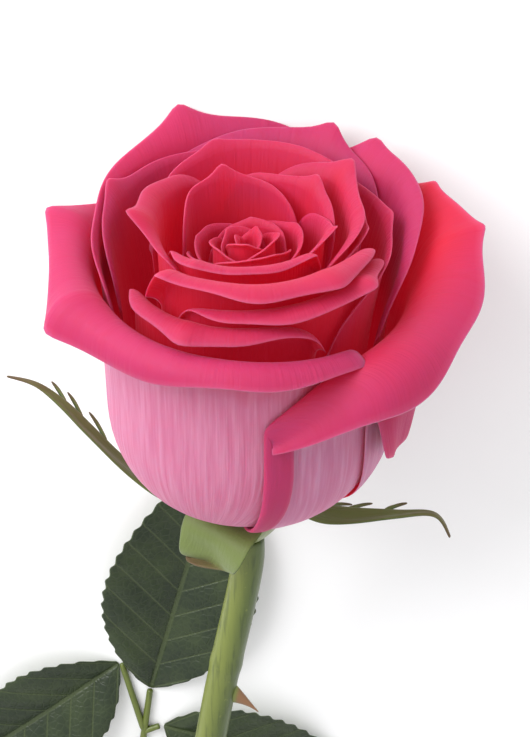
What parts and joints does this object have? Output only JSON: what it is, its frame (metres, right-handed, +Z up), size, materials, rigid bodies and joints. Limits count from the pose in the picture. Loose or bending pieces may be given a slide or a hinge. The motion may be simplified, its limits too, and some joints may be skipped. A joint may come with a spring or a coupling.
{
  "type": "cut rose",
  "caption": "Half-open cut rose lying on its back petals: layered pink bloom with rolled rims, sepals, a thorned stem and compound leaves.",
  "frame": {"origin": "middle of the flower's box, on the surface it lies on", "axes": "+Z up from the surface, +Y along the stem towards its cut end; the bloom faces -Y"},
  "size_m": [0.188, 0.4148, 0.0784],
  "materials": {
    "petal": "velvety matt",
    "sepal": "matt",
    "stem": "waxy satin",
    "leaf": "satin"
  },
  "bodies": {
    "root": {"guard_petal_hanging": "petal", "outer_petal_front_right": "petal", "outer_petal_front_left": "petal", "outer_petal_back_left": "petal", "outer_petal_back_right": "petal", "outer_petal_back": "petal", "middle_petal_back_left": "petal", "middle_petal_right": "petal", "middle_petal_front_left": "petal", "middle_petal_front_right": "petal", "middle_petal_back": "petal", "middle_petal_front": "petal", "inner_petal_right": "petal", "inner_petal_back_right": "petal", "inner_petal_left": "petal", "inner_petal_front": "petal", "inner_petal_back_left": "petal", "inner_petal_front_right": "petal", "inner_petal_back": "petal", "heart_petal_1": "petal", "heart_petal_2": "petal", "heart_petal_3": "petal", "heart_petal_4": "petal", "heart_petal_5": "petal", "heart_petal_6": "petal", "heart_petal_7": "petal", "heart_petal_8": "petal", "heart_petal_9": "petal", "heart_petal_10": "petal", "heart_petal_11": "petal", "sepal_left": "sepal", "sepal_back_left": "sepal", "sepal_back_right": "sepal", "sepal_right": "sepal", "sepal_front": "sepal", "receptacle": "stem", "stem": "stem", "upper_leaf_stalk": "stem", "lower_leaf_stalk": "stem", "upper_leaf_left_front_leaflet": "leaf", "upper_leaf_right_front_leaflet": "leaf", "upper_leaf_left_back_leaflet": "leaf", "upper_leaf_right_back_leaflet": "leaf", "upper_leaf_end_leaflet": "leaf", "lower_leaf_left_front_leaflet": "leaf", "lower_leaf_right_front_leaflet": "leaf", "lower_leaf_left_back_leaflet": "leaf", "lower_leaf_right_back_leaflet": "leaf", "lower_leaf_end_leaflet": "leaf"}
  },
  "joints": []
}
